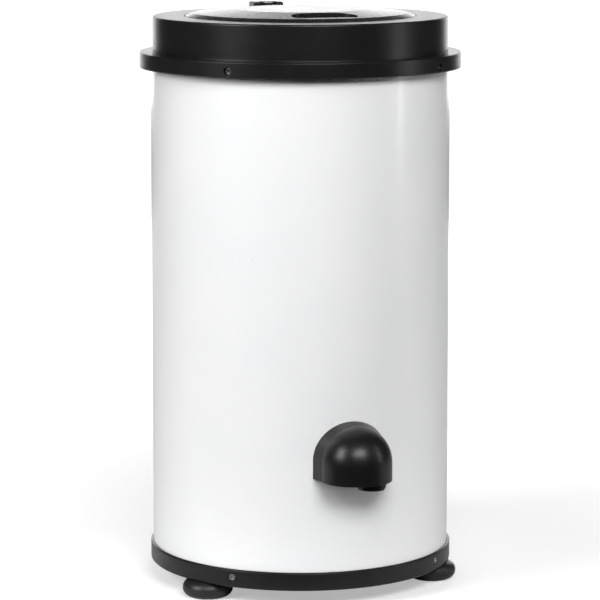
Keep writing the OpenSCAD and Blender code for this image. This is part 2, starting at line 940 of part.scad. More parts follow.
module outer_tub() {
    color("#d8d9d6")
        difference() {
            union() {
                rotate_extrude()
                    difference() {
                        can_section(tub_out, tub_z, tub_top, tub_corner, 0);
                        translate([0, tub_wall])
                            can_section(tub_r, tub_z, tub_top + 10, tub_corner - tub_wall, 0);
                    }
                band(chimney_r + tub_wall, chimney_r, chimney_h, tub_z);
                at_rim_screws()
                    slab(16, -tub_lug_r - 6, -tub_r - 1, tub_top - tub_lug_t, tub_top);
                rotate([0, 0, spout_az]) {
                    translate([nozzle_x, -sump_y, tub_z - sump_h])
                        cylinder(r = sump_r, h = sump_h + 1);
                    translate([nozzle_x, -sump_y, tub_z - sump_h - nipple_h])
                        cylinder(r = stub_r, h = nipple_h + 1);
                }
            }
            translate([0, 0, tub_z - 1])
                cylinder(r = chimney_r, h = 40);
            at_rim_screws()
                translate([0, -tub_lug_r, tub_top - tub_lug_t - 1])
                    cylinder(r = tub_screw_r + screw_clear, h = tub_lug_t + 2);
            rotate([0, 0, spout_az]) {
                translate([nozzle_x, -sump_y, tub_z - sump_h + tub_wall])
                    cylinder(r = sump_r - tub_wall, h = sump_h + tub_wall);
                translate([nozzle_x, -sump_y, tub_z - sump_h - nipple_h - 1])
                    cylinder(r = stub_bore, h = nipple_h + 10);
            }
        }
}

lip_ring_r = mouth_r + 2;

module tub_ring() {
    color("#cfd0cd")
        rotate_extrude() {
            translate([lip_ring_r - cover_wall, tub_top])
                square([tub_out + 2 - lip_ring_r + cover_wall, 3]);
            translate([tub_r - 3.3, tub_top - 10])
                square([3, 11]);
            translate([lip_ring_r - cover_wall, tub_top + 2])
                square([cover_wall, 4]);
        }
}

module tub_screws() {
    head_h = 3;
    color("silver")
        at_rim_screws()
            translate([0, -tub_lug_r, tub_top - tub_lug_t - head_h])
                screw(3.6, head_h, tub_screw_r, tub_lug_t + 12);
}

module mouth_seal() {
    web_z = tub_top + 6;
    web_h = skirt_z - web_z;
    inner = mouth_r - 3.5;
    outer = mouth_r + 6;
    leg = 2.3;
    color("#2c2c2c")
        rotate_extrude() {
            translate([inner, web_z])
                square([outer - inner, web_h]);
            translate([inner, web_z - 2.7])
                square([leg, web_h + 7.7]);
            translate([outer - 2.6, web_z - 2.7])
                square([2.6, web_h + 8.7]);
        }
}

module shaft_seal() {
    lip = 2.2;
    web = 1.6;
    fold = 3.4;
    inner = tower_r + 0.1;
    outer = chimney_r - 0.1;
    z0 = tub_z + 2;
    color("#202020")
        rotate_extrude()
            difference() {
                union() {
                    for (r = [inner, outer - lip])
                        translate([r, z0])
                            square([lip, 8]);
                    translate([inner, z0])
                        square([outer - inner, web]);
                    translate([(inner + outer) / 2, z0 + web])
                        circle(r = fold);
                }
                translate([(inner + outer) / 2, z0 + web])
                    circle(r = fold - web);
                translate([(inner + outer) / 2 - fold, z0 - fold])
                    square([2 * fold, fold]);
                translate([(inner + outer) / 2 - fold + web, z0 - fold])
                    square([2 * (fold - web), fold + web]);
            }
}

// ---------- drum and everything that turns with it ----------

module drum_section() {
    r_in = drum_r - drum_wall;
    difference() {
        can_section(drum_r, drum_z, drum_top, drum_corner, drum_lip_corner);
        can_section(r_in, drum_floor_z, drum_top - drum_wall, drum_corner - drum_wall,
            drum_lip_corner - drum_wall);
        translate([0, drum_top - 20])
            square([drum_lip_r, 30]);
        for (z = bead_heights)
            translate([drum_r, z])
                circle(r = bead_r - drum_wall);
    }
    translate([drum_lip_r + 0.4, drum_top - drum_roll_r])
        circle(r = drum_roll_r);
    for (z = bead_heights)
        intersection() {
            translate([drum_r, z])
                difference() {
                    circle(r = bead_r);
                    circle(r = bead_r - drum_wall);
                }
            translate([drum_r - bead_r - 1, z - bead_r])
                square([bead_r + 1, 2 * bead_r]);
        }
}

row_pitch = (drum_top - drum_z - 60) / drum_rows;
bead_heights = [for (k = [round(drum_rows / 3), round(2 * drum_rows / 3)]) drum_z + 30 + k * row_pitch];

module drum() {
    color("#c9ccce")
        difference() {
            rotate_extrude()
                drum_section();
            translate([0, 0, drum_z - 1])
                cylinder(r = shaft_r + run, h = 4);
            for (row = [0 : drum_rows - 1])
                around(drum_columns, (row % 2) * 180 / drum_columns)
                    bar_y(drum_hole_r, drum_r - 4, drum_r + 2, 0, drum_z + 30 + (row + 0.5) * row_pitch);
        }
}

module drum_hub() {
    rib_n = 6;
    color("#a8aaab")
        difference() {
            union() {
                translate([0, 0, drum_z - 3])
                    cylinder(r = hub_r, h = 3);
                translate([0, 0, hub_z])
                    cylinder(r = 15, h = hub_h);
                around(rib_n)
                    translate([0, -lug_circle_r, drum_z - 6])
                        cylinder(r = 6, h = 6);
                around(rib_n, 30)
                    slab(4, 1 - hub_r, -12, drum_z - 5, drum_z - 1);
                band(hub_r, hub_r - 3, hub_h + hub_skirt_h, hub_z - hub_skirt_h);
            }
            translate([0, 0, hub_z - 1])
                cylinder(r = shaft_r + run, h = hub_h + 2);
        }
}

module hub_nut() {
    color("silver")
        translate([0, 0, drum_floor_z])
            difference() {
                union() {
                    cylinder(r = nut_r, h = nut_h, $fn = 6);
                    cylinder(r = nut_flange_r, h = 2);
                    intersection() {
                        translate([0, 0, nut_h - 3])
                            sphere(r = nut_r * 0.85);
                        translate([0, 0, nut_h - 1])
                            cylinder(r = nut_r, h = nut_r);
                    }
                }
                translate([0, 0, -1])
                    cylinder(r = thread_r + run, h = nut_h);
            }
}

module motor_shaft() {
    color("silver")
        difference() {
            union() {
                translate([0, 0, shaft_z])
                    cylinder(r = shaft_r, h = drum_floor_z - fit - shaft_z);
                translate([0, 0, shaft_z])
                    cylinder(r = thread_r, h = shaft_top - shaft_z);
            }
            for (z = [shaft_z + 1.5, motor_z - 2, tower_top - 2])
                band(shaft_r + 1, shaft_r - 0.6, 1.2, z);
        }
}

module rotor_core() {
    bars = 20;
    color("#77797b")
        difference() {
            union() {
                translate([0, 0, stator_z + 2])
                    cylinder(r = stator_in - air_gap, h = stator_h - 4);
                band(stator_in - 4, stator_in - 12, stator_h + 10, stator_z - 5);
            }
            translate([0, 0, stator_z - 10])
                cylinder(r = shaft_r + run, h = stator_h + 20);
            around(bars)
                translate([0, -stator_in + air_gap, stator_z - 10])
                    cylinder(r = 1, h = stator_h + 20);
        }
}

module brake_drum() {
    color("#6a6c6e")
        difference() {
            union() {
                band(brake_r, brake_r - 5, brake_h, brake_z);
                translate([0, 0, brake_z])
                    cylinder(r = brake_r - 1, h = 3);
                translate([0, 0, brake_z])
                    cylinder(r = shaft_r + 5, h = brake_h);
            }
            translate([0, 0, brake_z - 1])
                cylinder(r = shaft_r + run, h = brake_h + 2);
            around(4, 45)
                translate([0, -19, brake_z - 1])
                    cylinder(r = 3, h = 5);
        }
}

module cooling_fan() {
    hub = 15;
    color("#3b3d40")
        difference() {
            union() {
                translate([0, 0, fan_z])
                    cylinder(r = hub, h = fan_h);
                translate([0, 0, fan_z + fan_h - 1.6])
                    cylinder(r = fan_r, h = 1.6);
                around(fan_blades)
                    translate([0, 3 - hub, fan_z + 1])
                        rotate([0, 0, -18])
                            translate([-0.9, hub + 2 - fan_r, 0])
                                cube([1.8, fan_r - hub - 2, fan_h - 2]);
            }
            translate([0, 0, fan_z - 1])
                cylinder(r = shaft_r + run, h = fan_h + 2);
        }
}

// ---------- motor ----------

through_r = motor_r - 6;

module motor_can() {
    slots = 12;
    color("#b9bbbc")
        difference() {
            band(motor_r, motor_r - can_wall, motor_h, motor_z);
            around(slots)
                for (z = [motor_z + 6, can_top - 18])
                    slab(6, -motor_r - 1, -motor_r + can_wall + 1, z, z + 12);
        }
}

module motor_base_shield() {
    housing_h = bearing_h + 3;
    color("#a0a2a4")
        difference() {
            union() {
                translate([0, 0, motor_z - shield_t])
                    cylinder(r = motor_r, h = shield_t);
                translate([0, 0, motor_z - eps])
                    cylinder(r = bearing_r + 4, h = housing_h);
            }
            translate([0, 0, motor_z - shield_t - 1])
                cylinder(r = shaft_r + 2, h = 30);
            translate([0, 0, motor_z + 1])
                cylinder(r = bearing_r + 0.1, h = housing_h);
            around(4, 45)
                translate([0, -through_r, motor_z - shield_t - 1])
                    cylinder(r = 2 + run, h = shield_t + 2);
        }
}

module motor_top_shield() {
    ribs = 6;
    color("#a0a2a4")
        difference() {
            union() {
                translate([0, 0, can_top])
                    cylinder(r = motor_r, h = shield_t);
                translate([0, 0, can_top])
                    cylinder(r = tower_r, h = tower_top - can_top);
                around(ribs, 30)
                    slab(4, -motor_r + 8, -tower_r + 2, can_top + 1, can_top + shield_t + 5);
            }
            translate([0, 0, can_top - 1])
                cylinder(r = shaft_r + 2, h = tower_top - can_top + 2);
            translate([0, 0, tower_top - bearing_h - 3])
                cylinder(r = bearing_r + 0.1, h = bearing_h + 4);
        }
}

module stator() {
    slots = 18;
    color("#5f6163")
        difference() {
            band(motor_r - can_wall - fit, stator_in, stator_h, stator_z);
            around(slots)
                slab(5, -stator_in - 12, -stator_in - 2, stator_z - 1, stator_z + stator_h + 1);
            around(slots)
                slab(1.6, -stator_in - 4, -stator_in + 2, stator_z - 1, stator_z + stator_h + 1);
        }
}

module windings() {
    mid = (stator_in + motor_r - can_wall) / 2;
    half_h = 5;
    half_w = 7;
    color("#b0643a")
        for (z = [stator_z - half_h, stator_z + stator_h + half_h])
            rotate_extrude()
                translate([mid, z]) {
                    square([2 * half_w - 2 * half_h, 2 * half_h], center = true);
                    for (x = [-1, 1])
                        translate([x * (half_w - half_h), 0])
                            circle(r = half_h);
                }
}

module bearings() {
    groove = 1;
    color("#c4c6c8")
        for (z = [motor_z + 1.2, tower_top - bearing_h - 2.8])
            difference() {
                band(bearing_r, shaft_r + run, bearing_h, z);
                band(bearing_r - 1.8, shaft_r + 1.8, groove, z - eps);
                band(bearing_r - 1.8, shaft_r + 1.8, groove, z + bearing_h - groove + eps);
            }
}

module motor_plate() {
    arm_w = 34;
    color("#8e9092")
        difference() {
            union() {
                translate([0, 0, carriage_z])
                    cylinder(r = motor_r + 4, h = plate_h);
                around(3, spring_az) {
                    slab(arm_w, -spring_circle_r, -motor_r + 4, carriage_z, carriage_z + plate_h);
                    translate([0, -spring_circle_r, carriage_z])
                        cylinder(r = arm_w / 2, h = plate_h);
                }
            }
            translate([0, 0, carriage_z - 1])
                cylinder(r = bearing_r, h = plate_h + 2);
            around(4, 45)
                translate([0, -through_r, carriage_z - 1])
                    cylinder(r = 2 + screw_clear, h = plate_h + 2);
            around(3, spring_az)
                translate([0, -spring_circle_r, carriage_z - 1])
                    cylinder(r = 3 + fit, h = plate_h + 2);
            translate([-lever_x, lever_pivot_y, carriage_z - 1])
                cylinder(r = pivot_r - 1 + run, h = plate_h + 2);
        }
}

module motor_screws() {
    head_h = 3;
    color("silver")
        around(4, 45)
            translate([0, -through_r, carriage_z - head_h])
                screw(3.6, head_h, 2, plate_h + shield_t - 0.5);
}

spring_low = pan_z + spring_seat_h / 2;
spring_high = carriage_z - spring_seat_h / 2;

module spring_seats() {
    rim = 2;
    spigot = spring_r - spring_wire_r - 1;
    color("#262626")
        around(3, spring_az)
            translate([0, -spring_circle_r, 0]) {
                band(spring_seat_r, spring_seat_r - rim, spring_seat_h, pan_z);
                translate([0, 0, pan_z])
                    cylinder(r = spring_seat_r - 1, h = spring_seat_h / 2);
                translate([0, 0, pan_z])
                    cylinder(r = spigot, h = spring_seat_h + 4);
                band(spring_seat_r, spring_seat_r - rim, spring_seat_h, carriage_z - spring_seat_h);
                translate([0, 0, spring_high])
                    cylinder(r = spring_seat_r - 1, h = spring_seat_h / 2);
                translate([0, 0, carriage_z - spring_seat_h - 4])
                    cylinder(r = spigot, h = spring_seat_h + 4);
                translate([0, 0, carriage_z - 1])
                    cylinder(r = 3, h = plate_h + 1);
            }
}

module suspension_springs() {
    h = spring_high - spring_low - 2 * seat_gap;
    end = 2 * spring_wire_r;
    echo(suspension_spring_gap = coil_gap(spring_turns, h, end, spring_wire_r));
    color("#8a8c8e")
        around(3, spring_az)
            translate([0, -spring_circle_r, spring_low + seat_gap])
                tube(coil_points(spring_r, spring_turns, h, end), spring_wire_r, 6);
}

// ---------- drain ----------

// The hood's outer form, or with a wall thickness its hollow
module hood_form(wall, over = 0) {
    nose = hood_nose_r - wall;
    slope = (hood_r - hood_nose_r) / hood_reach;
    back = casing_r - 12;
    front = nose_cy + 3;
    low = hood_z - over;
    back_r = nose + slope * (nose_cy - back);
    front_r = nose - slope * (front - nose_cy);
    translate([0, -nose_cy, 0])
        rotate_extrude() {
            translate([0, low])
                square([nose, outlet_z - low]);
            intersection() {
                translate([0, outlet_z])
                    circle(r = nose);
                translate([0, outlet_z])
                    square([nose, nose]);
            }
        }
    difference() {
        translate([0, -back, outlet_z])
            rotate([90, 0, 0])
                cylinder(r1 = back_r, r2 = front_r, h = front - back);
        translate([-back_r - 1, -front - 1, outlet_z - 2 * back_r])
            cube([2 * back_r + 2, front - back + 2, 2 * back_r]);
    }
    translate([0, 0, low])
        linear_extrude(outlet_z - low)
            polygon([[-back_r, -back], [back_r, -back], [front_r, -front], [-front_r, -front]]);
}

module spout_hood() {
    seat = casing_r + fit;
    color("#141414")
        rotate([0, 0, spout_az])
            difference() {
                union() {
                    difference() {
                        hood_form(0);
                        hood_form(hood_wall, 2);
                    }
                    for (x = [-1, 1])
                        bar_y(4, casing_r - 5, casing_r + 7, x * boss_x, outlet_z + boss_dz);
                }
                translate([0, 0, hood_z - 10])
                    cylinder(r = seat, h = 2 * hood_r + 60);
                for (x = [-1, 1])
                    bar_y(screw_r - 0.4 + run, casing_r - 10, casing_r + 5, x * boss_x, outlet_z + boss_dz);
            }
}

module hood_screws() {
    head_h = 2.4;
    inside = sqrt(casing_in * casing_in - boss_x * boss_x) - head_h - 1.4;
    color("silver")
        rotate([0, 0, spout_az])
            for (x = [-1, 1])
                translate([x * boss_x, -inside, outlet_z + boss_dz])
                    rotate([90, 0, 0])
                        screw(3.4, head_h, screw_r - 0.4, 10);
}

module drain_spout() {
    elbow_y = nozzle_y;
    collar_r_out = stub_r + 10;
    color("#161616")
        rotate([0, 0, spout_az])
            difference() {
                union() {
                    bar_y(stub_r, stub_in_y, elbow_y, nozzle_x, outlet_z);
                    difference() {
                        bar_y(collar_r_out, casing_r - 8, casing_r + 4.5, nozzle_x, outlet_z);
                        translate([0, 0, outlet_z - 2 * collar_r_out])
                            cylinder(r = casing_r + 2, h = 4 * collar_r_out);
                    }
                    translate([nozzle_x, -elbow_y, nozzle_z])
                        cylinder(r = nozzle_out, h = outlet_z - nozzle_z);
                    translate([nozzle_x, -elbow_y, outlet_z])
                        sphere(r = nozzle_out);
                }
                bar_y(stub_bore, stub_in_y - 1, elbow_y, nozzle_x, outlet_z);
                translate([nozzle_x, -elbow_y, nozzle_z - 1])
                    cylinder(r = nozzle_r, h = socket_l + 1);
                translate([nozzle_x, -elbow_y, nozzle_z])
                    cylinder(r = nozzle_r - 1.5, h = outlet_z - nozzle_z);
                translate([nozzle_x, -elbow_y, outlet_z])
                    sphere(r = nozzle_r - 1.5);
                translate([nozzle_x + nozzle_out * 0.55, -elbow_y, nozzle_z])
                    rotate([0, -42, 0])
                        translate([0, -30, -20])
                            cube([40, 60, 20]);
            }
}

module spout_gasket() {
    color("#2a2a2a")
        rotate([0, 0, spout_az])
            intersection() {
                difference() {
                    bar_y(stub_r + 9, casing_r - 8, casing_r + 4, nozzle_x, outlet_z);
                    bar_y(stub_r + fit, casing_r - 9, casing_r + 5, nozzle_x, outlet_z);
                }
                band(casing_r + 1.8, casing_r + fit, 60, outlet_z - 30);
            }
}

module spout_nut() {
    back = sqrt(casing_in * casing_in - pow(nozzle_x + stub_r + 6, 2));
    color("#161616")
        rotate([0, 0, spout_az])
            translate([nozzle_x, -back + 6.2, outlet_z])
                rotate([90, 0, 0])
                    difference() {
                        cylinder(r = stub_r + 6, h = 6, $fn = 6);
                        translate([0, 0, -1])
                            cylinder(r = stub_r + run, h = 8);
                    }
}

module hose_wall() {
    difference() {
        circle(r = stub_r + 0.1 + hose_wall);
        circle(r = stub_r + 0.1);
    }
}

module drain_hose() {
    bend_z = outlet_z + hose_bend;
    bend_y = sump_y + hose_bend;
    color("#4a4c4e")
        rotate([0, 0, spout_az]) {
            translate([nozzle_x, -sump_y, bend_z])
                linear_extrude(tub_z - sump_h - 0.5 - bend_z)
                    hose_wall();
            translate([nozzle_x, -bend_y, outlet_z])
                rotate([90, 0, 0])
                    linear_extrude(stub_in_y + 10 - bend_y)
                        hose_wall();
            translate([nozzle_x, -bend_y, bend_z])
                rotate([0, -90, 0])
                    rotate([0, 0, 180])
                        rotate_extrude(angle = -90)
                            translate([hose_bend, 0])
                                hose_wall();
        }
}

module hose_clamps() {
    r = stub_r + 0.1 + hose_wall;
    t = 1;
    w = 7;
    color("silver")
        rotate([0, 0, spout_az]) {
            translate([nozzle_x, -sump_y, tub_z - sump_h - 11])
                clamp_band(r, t, w);
            translate([nozzle_x, -stub_in_y - 3, outlet_z])
                rotate([90, 0, 0])
                    clamp_band(r, t, w);
        }
}

module clamp_band(r, t, w) {
    ear = 6;
    band(r + fit + t, r + fit, w);
    translate([r + fit, -2.5, 0])
        cube([ear, 5, w]);
}

// ---------- interlock ----------

module interlock_switch() {
    lever_gap = 2;
    color("#303234")
        polar(pin_az, switch_y)
            difference() {
                translate([-switch_box.x / 2, -switch_box.y / 2, seat_under - switch_box.z]) {
                    cube(switch_box);
                    for (x = [4, 20])
                        translate([x - 0.5, 5, -6])
                            cube([1, 6, 7]);
                }
                translate([0, 0, seat_under - 12])
                    cylinder(r = pin_r + run, h = 13);
                for (x = [-1, 1])
                    translate([x * (switch_box.x / 2 - 3.5), 0, seat_under - switch_box.z / 2])
                        rotate([90, 0, 0])
                            cylinder(r = 1.6, h = 30, center = true);
            }
}

module interlock_pin() {
    color("#e8e8e4")
        polar(pin_az, pin_circle)
            translate([0, 0, seat_under - 10]) {
                h = lid_skirt_z - 0.1 - seat_under + 10;
                cylinder(r = pin_r, h = h - 1);
                translate([0, 0, h - 1])
                    cylinder(r1 = pin_r, r2 = pin_r - 0.8, h = 1);
            }
}

// ---------- brake ----------

// Takes a piece drawn against the brake drum back to where the lever rests
module brake_on() {
    translate([-lever_x, lever_pivot_y, 0])
        rotate([0, 0, brake_swing])
            translate([lever_x, -lever_pivot_y, 0])
                children();
}

module brake_lever() {
    z1 = lever_z + lever_t;
    color("#8a8c8e")
        difference() {
            union() {
                slab(lever_w, lever_pivot_y, lever_end_y, lever_z, z1, -lever_x);
                for (y = [lever_pivot_y, lever_end_y])
                    translate([-lever_x, y, lever_z])
                        cylinder(r = lever_w / 2 + 1, h = lever_t);
                brake_on()
                    difference() {
                        slab(lever_x - brake_r, -8, 8, lever_z, z1, -(lever_x + brake_r) / 2);
                        cylinder(r = brake_r + lining_gap + lining_t + 0.1, h = z1 + 1);
                    }
            }
            translate([-lever_x, lever_pivot_y, lever_z - 1])
                cylinder(r = pivot_r + run, h = lever_t + 2);
            translate([-lever_x, lever_end_y, lever_z - 1])
                cylinder(r = 2, h = lever_t + 2);
        }
}

module brake_lining() {
    color("#54463a")
        brake_on()
            rotate([0, 0, 180 - lining_sweep / 2])
                rotate_extrude(angle = lining_sweep)
                    translate([brake_r + lining_gap, brake_z + 1])
                        square([lining_t, brake_h - 2]);
}

module brake_pivot() {
    color("silver")
        translate([-lever_x, lever_pivot_y, 0]) {
            translate([0, 0, lever_z - 0.3])
                cylinder(r = pivot_r, h = carriage_z - lever_z + 0.3);
            translate([0, 0, lever_z - 2.3])
                cylinder(r = pivot_r + 2, h = 2);
            translate([0, 0, carriage_z - 1])
                cylinder(r = pivot_r - 1, h = plate_h + 1);
            translate([0, 0, lever_z + lever_t + 0.3])
                cylinder(r = pivot_r + 2, h = carriage_z - lever_z - lever_t - 0.3);
        }
}

brake_spring_l = 34;

module brake_spring() {
    r = 3;
    wire = 0.6;
    turns = 12;
    x0 = -lever_x + lever_w / 2 + 1 + seat_gap;
    echo(brake_spring_gap = coil_gap(turns, brake_spring_l, 2 * wire, wire));
    color("silver")
        translate([x0, lever_end_y, lever_z + lever_t / 2])
            rotate([0, 90, 0])
                tube(coil_points(r, turns, brake_spring_l, 2 * wire), wire, 6);
}

// Cable with its ends straight in their ferrules
module brake_cable() {
    low = [-bracket_low_x - bracket_t - 0.3, lever_end_y, lever_z + lever_t / 2];
    path = concat(
        [low, low - [6, 0, 0]],
        smooth([for (i = [1 : len(cable_route) - 1]) cable_route[i]], 3),
        [[0, cable_y, bracket_z - 30], [0, cable_y, bracket_z - 10], [0, cable_y, bracket_z - 0.3]]
    );
    color("#1e1e1e")
        tube(path, cable_r, 8);
}

module brake_wires() {
    low_x = lever_x + 5.8;
    z = lever_z + lever_t / 2;
    color("silver") {
        translate([0, cable_y, bracket_z - 0.2])
            cylinder(r = wire_r, h = hinge_z - bracket_z + 0.5);
        translate([0, cable_y, hinge_z + 0.1])
            cylinder(r = wire_r + 0.9, h = 1.4);
        translate([-low_x - 32.2 + fit, lever_end_y, z])
            rotate([0, 90, 0])
                cylinder(r = wire_r, h = 32);
    }
}

module cable_brackets() {
    w = 14;
    z = lever_z + lever_t / 2;
    post_x = -lever_x + lever_w / 2 + 1 + 2 * seat_gap + brake_spring_l;
    color("#9a9c9e") {
        difference() {
            union() {
                slab(w, cable_y - 5, collar_in - 1.2, bracket_z, bracket_z + bracket_t);
                slab(w, collar_in - 3.2, collar_in - 1.2, bracket_z, plate_z);
            }
            translate([0, cable_y, bracket_z - 1])
                cylinder(r = wire_r + 0.3, h = bracket_t + 2);
        }
        difference() {
            union() {
                translate([-bracket_low_x - bracket_t, lever_end_y - 8, pan_z])
                    cube([bracket_t, 16, z + 8 - pan_z]);
                translate([-bracket_low_x - 16, lever_end_y - 8, pan_z])
                    cube([16, 16, bracket_t]);
            }
            translate([-bracket_low_x - 5, lever_end_y, z])
                rotate([0, 90, 0])
                    cylinder(r = wire_r + 0.3, h = 10);
        }
        translate([post_x + 1.5, lever_end_y, z - 5])
            cylinder(r = 1.5, h = carriage_z - z + 5);
    }
}

// ---------- electrics ----------

module junction_box() {
    foot = [7, 14, 3];
    color("#2e3032")
        polar(box_az, box_circle)
            translate([-box_size.x / 2, -box_size.y / 2, pan_z]) {
                cube(box_size);
                for (x = [1 - foot.x, box_size.x - 1])
                    translate([x, 6, 0])
                        cube(foot);
                translate([2, 2, box_size.z - eps])
                    cube([box_size.x - 4, box_size.y - 4, 1.5]);
            }
}

module capacitor() {
    color("#c9cbc8")
        polar(capacitor_az, capacitor_circle) {
            translate([0, 0, pan_z])
                cylinder(r = capacitor_r, h = capacitor_h);
            translate([0, 0, pan_z])
                cylinder(r = capacitor_r + 1.5, h = 6);
            for (x = [-6, 6])
                translate([x - 0.5, -3, pan_z + capacitor_h - eps])
                    cube([1, 6, 7]);
        }
}

module cable_grommet() {
    color("#202020")
        polar(inlet_az)
            difference() {
                union() {
                    bar_y(grommet_r, casing_in - 3.6, casing_in - 1.4, 0, inlet_z);
                    bar_y(grommet_r - 2, casing_in - 4, casing_r + grommet_l - 2, 0, inlet_z);
                    bar_y(grommet_r, casing_r + 1.4, casing_r + 4, 0, inlet_z);
                }
                bar_y(inlet_bore, casing_in - 10, casing_r + 20, 0, inlet_z);
            }
}

module leads() {
    color("#3a3c3e") {
        tube(smooth(switch_route, 5), 2.6, 8);
        tube(smooth(motor_route, 4), 2.6, 8);
    }
}

// ---------- the whole dryer ----------

casing();
base_ring();
base_pan();
feet();
foot_screws();
base_screws();
top_cover();
rim_screws();
hinge_block();
hinge_screws();
hinge_pin();
lid();
lid_liner();
lid_gasket();
lid_screws();
latch_paddle();
latch_pin();
latch_spring();
outer_tub();
tub_ring();
tub_screws();
mouth_seal();
shaft_seal();
drum();
drum_hub();
hub_nut();
motor_shaft();
rotor_core();
brake_drum();
cooling_fan();
motor_can();
motor_top_shield();
motor_base_shield();
stator();
windings();
bearings();
motor_plate();
motor_screws();
spring_seats();
suspension_springs();
spout_hood();
hood_screws();
drain_spout();
spout_gasket();
spout_nut();
drain_hose();
hose_clamps();
interlock_switch();
interlock_pin();
brake_lever();
brake_lining();
brake_pivot();
brake_spring();
brake_cable();
brake_wires();
cable_brackets();
junction_box();
capacitor();
cable_grommet();
leads();
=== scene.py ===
"""Studio scene for the laundry spin dryer: finishes, floor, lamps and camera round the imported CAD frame.

Lengths are in metres and lamps in watts. Tones run from 0 to 255, as a picture shows them.
"""
import json
import math

import bpy
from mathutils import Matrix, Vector

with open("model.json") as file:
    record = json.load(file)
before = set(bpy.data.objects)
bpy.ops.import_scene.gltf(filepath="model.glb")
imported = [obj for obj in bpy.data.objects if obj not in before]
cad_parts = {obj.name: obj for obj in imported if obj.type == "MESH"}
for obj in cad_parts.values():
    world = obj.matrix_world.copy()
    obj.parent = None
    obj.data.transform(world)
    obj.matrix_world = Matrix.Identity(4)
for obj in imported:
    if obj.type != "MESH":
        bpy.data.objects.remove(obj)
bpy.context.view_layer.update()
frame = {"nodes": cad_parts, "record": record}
nodes = frame["nodes"]

# ---------- camera, fitted to the photograph ----------
VIEW_AZIMUTH = math.radians(-16.0)  # to the left of the lid's own axis
VIEW_TILT = math.radians(8.29)      # downward
VIEW_DISTANCE = 3.139               # level, from the object's upright axis
VIEW_HEIGHT = 0.8029                # above the floor
LENS = 176.3                        # millimetres, as is SENSOR
SENSOR = 36.0
SHIFT = (-0.0005, -0.0702)          # shares of the picture's width
CLIP_NEAR = 0.05
CLIP_FAR = 60.0

# ---------- what all the finishes share ----------
WANDER_FROM = 0.1                   # the noise's value at the low colour and roughness
WANDER_TO = 0.9                     # and at the high ones
WANDER_DETAIL = 4.0
RELIEF_DETAIL = 3.0
RELIEF_DEPTH = 0.0004
COAT_ROUGH = 0.12
EDGE_SAMPLES = 6

# ---------- floor and backdrop, measured behind the object's axis as the camera sees it ----------
FLOOR_FRONT = -0.26                 # a little in front of the drain hood; before that the white world shows
FLOOR_HALF = 5.5
BACKDROP_Y = 5.6
BACKDROP_R = 1.4
BACKDROP_TOP = 5.0
BACKDROP_STEPS = 16

# ---------- how far the camera alone sees the paper lifted towards white, which is 1 ----------
LIFT_NEAR = 0.42                    # round the object, where its shadow lies
LIFT_FAR = 1.0                      # from LIFT_REACH on, measured from the floor's middle under the object
LIFT_REACH = 1.7
LIFT_CORE = 0.8                     # the nearness from which LIFT_NEAR holds: 1 is the middle, 0 LIFT_REACH

# ---------- lamps and world ----------
LAMP_AIM = Vector((0, 0, 0.32))     # about half way up the object
SKY_LOW = 0.01                      # the world's strength towards SKY_FROM and below it
SKY_HIGH = 0.06                     # and towards SKY_TO and above it
SKY_FROM = -0.1                     # both are the upward part of a direction
SKY_TO = 0.35
SKY_SEEN = 1.0                      # the strength that the camera sees
WHITE = (1, 1, 1, 1)


def linear(level):
    """A tone of 0 to 255, as a picture shows it, as the linear value that a shader takes."""
    v = level / 255
    return v / 12.92 if v <= 0.04045 else ((v + 0.055) / 1.055) ** 2.4


def tone(r, g=None, b=None):
    """A colour from picture tones; one number is a grey."""
    return (linear(r), linear(r if g is None else g), linear(r if b is None else b), 1.0)


def add_node(tree, kind, values=None):
    """A new node of that kind, with its input sockets set from values by name."""
    node = tree.nodes.new(kind)
    for socket, value in (values or {}).items():
        node.inputs[socket].default_value = value
    return node


def add_object(name, data):
    """A new object in the scene for that mesh, lamp or camera."""
    obj = bpy.data.objects.new(name, data)
    bpy.context.scene.collection.objects.link(obj)
    return obj


